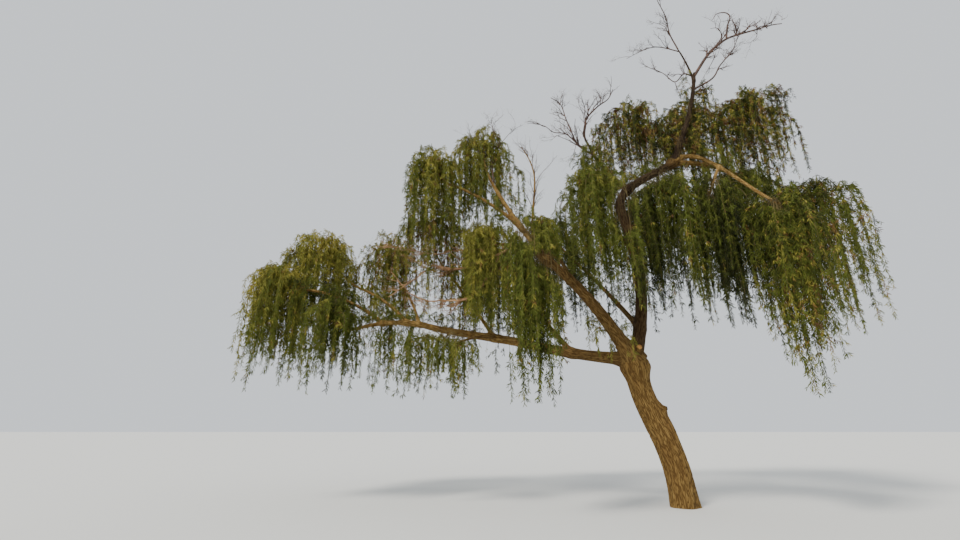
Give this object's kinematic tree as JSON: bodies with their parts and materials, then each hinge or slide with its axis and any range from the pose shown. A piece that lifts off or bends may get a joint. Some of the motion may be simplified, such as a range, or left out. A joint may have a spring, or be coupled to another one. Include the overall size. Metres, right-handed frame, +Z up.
{
  "type": "weeping willow tree",
  "caption": "Old leaning weeping willow with a forked trunk, long arching boughs, curtains of hanging leafy twigs and bare dead tops.",
  "frame": {"origin": "middle of the trunk's flat cut at ground level", "axes": "+Z up, +X along the crown's length, away from the side the trunk leans to, +Y away from the picture's camera"},
  "size_m": [15.2843, 6.7152, 14.3276],
  "materials": {
    "bark": "deeply furrowed grey-brown bark, matt",
    "foliage": "narrow olive and yellow-green leaves on thin hanging twigs, matt",
    "dead_twigs": "bare weathered dark brown twigs, matt"
  },
  "bodies": {
    "root": {"trunk": "bark", "back_far": "bark", "back_left": "bark", "back_middle": "bark", "back_right": "bark", "bare_snag": "bark", "front_left": "bark", "front_right": "bark", "high_left": "bark", "leader_low": "bark", "leader_mid": "bark", "leader_top": "bark", "left_behind": "bark", "left_open": "bark", "left_outer": "bark", "left_rise": "bark", "left_under": "bark", "low_left_end": "bark", "low_left_middle": "bark", "low_left_root": "bark", "mid_left_far": "bark", "mid_left_front": "bark", "mid_left_low": "bark", "mid_left_rise": "bark", "mid_left_root": "bark", "right_arch": "bark", "right_inner": "bark", "right_out": "bark", "top_back": "bark", "top_fork": "bark", "top_left": "bark", "top_right": "bark", "under_arch": "bark", "foliage_back_far_right": "foliage", "foliage_back_left": "foliage", "foliage_back_middle": "foliage", "foliage_back_right": "foliage", "foliage_front_centre": "foliage", "foliage_front_left": "foliage", "foliage_front_middle": "foliage", "foliage_front_right": "foliage", "foliage_high_left": "foliage", "foliage_high_left_outer": "foliage", "foliage_left_behind": "foliage", "foliage_left_inner": "foliage", "foliage_left_open": "foliage", "foliage_left_tip": "foliage", "foliage_left_under": "foliage", "foliage_low_left": "foliage", "foliage_middle_left": "foliage", "foliage_right_inner": "foliage", "foliage_right_tip": "foliage", "foliage_top_back": "foliage", "foliage_top_left": "foliage", "foliage_top_right": "foliage", "foliage_under_arch": "foliage", "dead_twigs_left": "dead_twigs", "dead_twigs_top_left": "dead_twigs", "dead_twigs_top_right": "dead_twigs"}
  },
  "joints": []
}
